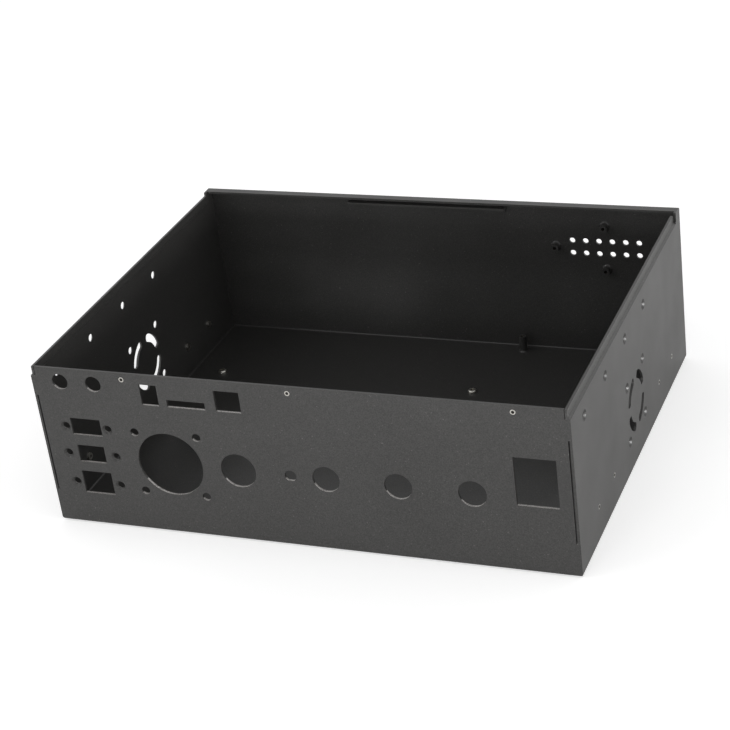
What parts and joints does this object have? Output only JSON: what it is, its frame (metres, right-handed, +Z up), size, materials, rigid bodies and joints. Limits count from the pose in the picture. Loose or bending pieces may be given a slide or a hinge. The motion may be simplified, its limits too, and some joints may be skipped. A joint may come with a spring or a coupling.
{
  "type": "sheet metal chassis",
  "caption": "Open-topped folded sheet steel equipment chassis with a front connector panel, fan openings in both sides, vents and tapped fixings.",
  "frame": {"origin": "middle of the underside, on the surface it stands on", "axes": "+Z up; the panel with the connector cut-outs faces -Y; +X to the right as seen from the front"},
  "size_m": [0.45, 0.35, 0.1485],
  "materials": {
    "powder_coat": "matt black powder coat with a fine texture",
    "zinc": "bright zinc plate"
  },
  "bodies": {
    "root": {"chassis_shell": "powder_coat", "cover_catch": "powder_coat", "floor_standoff": "powder_coat", "back_standoff_left": "powder_coat", "back_standoff_right": "powder_coat", "back_standoff_upper": "powder_coat", "back_standoff_lower": "powder_coat", "front_nut_left": "zinc", "front_nut_middle": "zinc", "front_nut_right": "zinc", "side_nut_left_far_front": "zinc", "side_nut_left_near_front": "zinc", "side_nut_left_near_rear": "zinc", "side_nut_left_far_rear": "zinc", "side_nut_right_far_front": "zinc", "side_nut_right_near_front": "zinc", "side_nut_right_near_rear": "zinc", "side_nut_right_far_rear": "zinc", "floor_screw_left": "zinc", "floor_screw_right": "zinc"}
  },
  "joints": []
}
